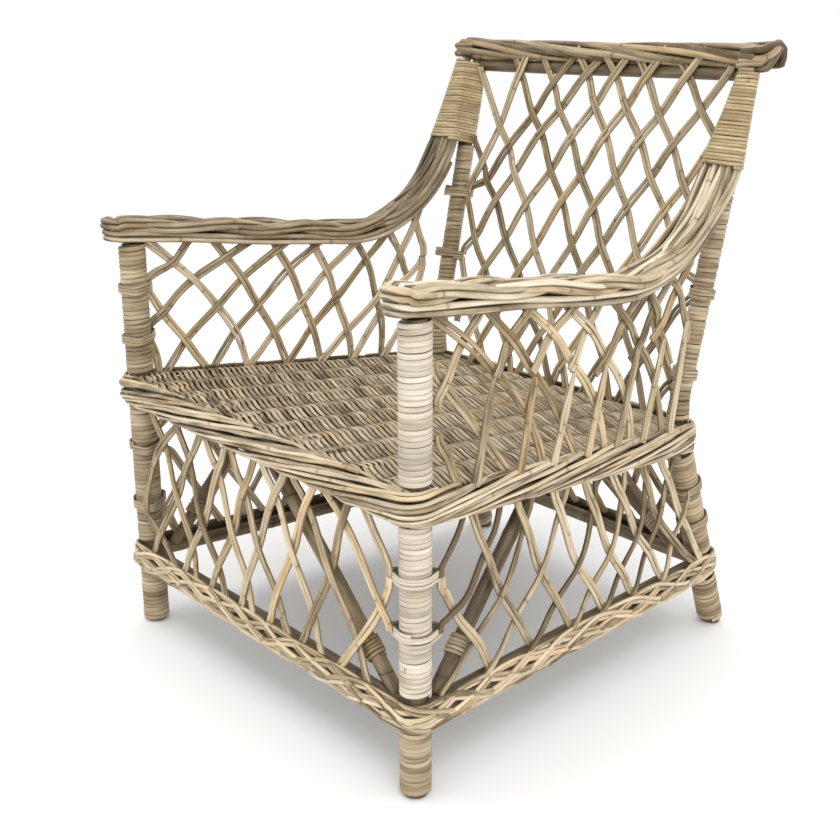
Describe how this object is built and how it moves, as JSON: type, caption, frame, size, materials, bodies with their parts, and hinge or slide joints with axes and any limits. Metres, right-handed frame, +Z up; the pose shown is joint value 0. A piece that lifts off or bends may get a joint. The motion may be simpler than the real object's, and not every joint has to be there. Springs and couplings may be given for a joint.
{
  "type": "rattan armchair",
  "caption": "Open armchair of round rattan poles with over-and-under lattice panels, plaited arms and crest, woven seat and borders, and wound posts.",
  "frame": {"origin": "on the floor under the middle of the chair's outline", "axes": "+Z up, the front of the chair faces -Y, +X is the sitter's left"},
  "size_m": [0.7174, 0.748, 0.9053],
  "materials": {
    "pole": "satin, peeled rattan pole with growth nodes",
    "binding_cane": "satin, cane wound tight",
    "lattice_cane": "matte, round cane in flat pairs",
    "plait_cane": "matte, twisted and plaited cane",
    "border_cane": "matte, twined cane",
    "seat_cane": "matte, close woven cane",
    "stake_wood": "matte"
  },
  "bodies": {
    "root": {"arm_plait_left": "plait_cane", "arm_plait_right": "plait_cane", "arm_pole_left": "pole", "arm_pole_right": "pole", "arm_under_strands_left": "plait_cane", "arm_under_strands_right": "plait_cane", "back_lattice": "lattice_cane", "bottom_border_front": "border_cane", "bottom_border_left": "border_cane", "bottom_border_rear": "border_cane", "bottom_border_right": "border_cane", "bottom_rail_front": "pole", "bottom_rail_left": "pole", "bottom_rail_rear": "pole", "bottom_rail_right": "pole", "brace_front": "pole", "brace_lashings": "binding_cane", "brace_left": "pole", "brace_rear": "pole", "brace_right": "pole", "crest_plait": "plait_cane", "crest_rail": "pole", "foot_bindings": "binding_cane", "front_lower_binding_left": "binding_cane", "front_lower_binding_right": "binding_cane", "front_post_left": "pole", "front_post_right": "pole", "front_post_ties": "binding_cane", "front_upper_binding_left": "binding_cane", "front_upper_binding_right": "binding_cane", "lower_lattice_front": "lattice_cane", "lower_lattice_left": "lattice_cane", "lower_lattice_rear": "lattice_cane", "lower_lattice_right": "lattice_cane", "rear_lower_binding_left": "binding_cane", "rear_lower_binding_right": "binding_cane", "rear_post_left": "pole", "rear_post_right": "pole", "rear_post_ties": "binding_cane", "rear_upper_binding_left": "binding_cane", "rear_upper_binding_right": "binding_cane", "seat_bearers": "pole", "seat_border_front": "border_cane", "seat_border_left": "border_cane", "seat_border_rear": "border_cane", "seat_border_right": "border_cane", "seat_rail_front": "pole", "seat_rail_left": "pole", "seat_rail_rear": "pole", "seat_rail_right": "pole", "seat_stakes": "stake_wood", "seat_weave": "seat_cane", "shoulder_wraps": "binding_cane", "upper_lattice_left": "lattice_cane", "upper_lattice_right": "lattice_cane"}
  },
  "joints": []
}
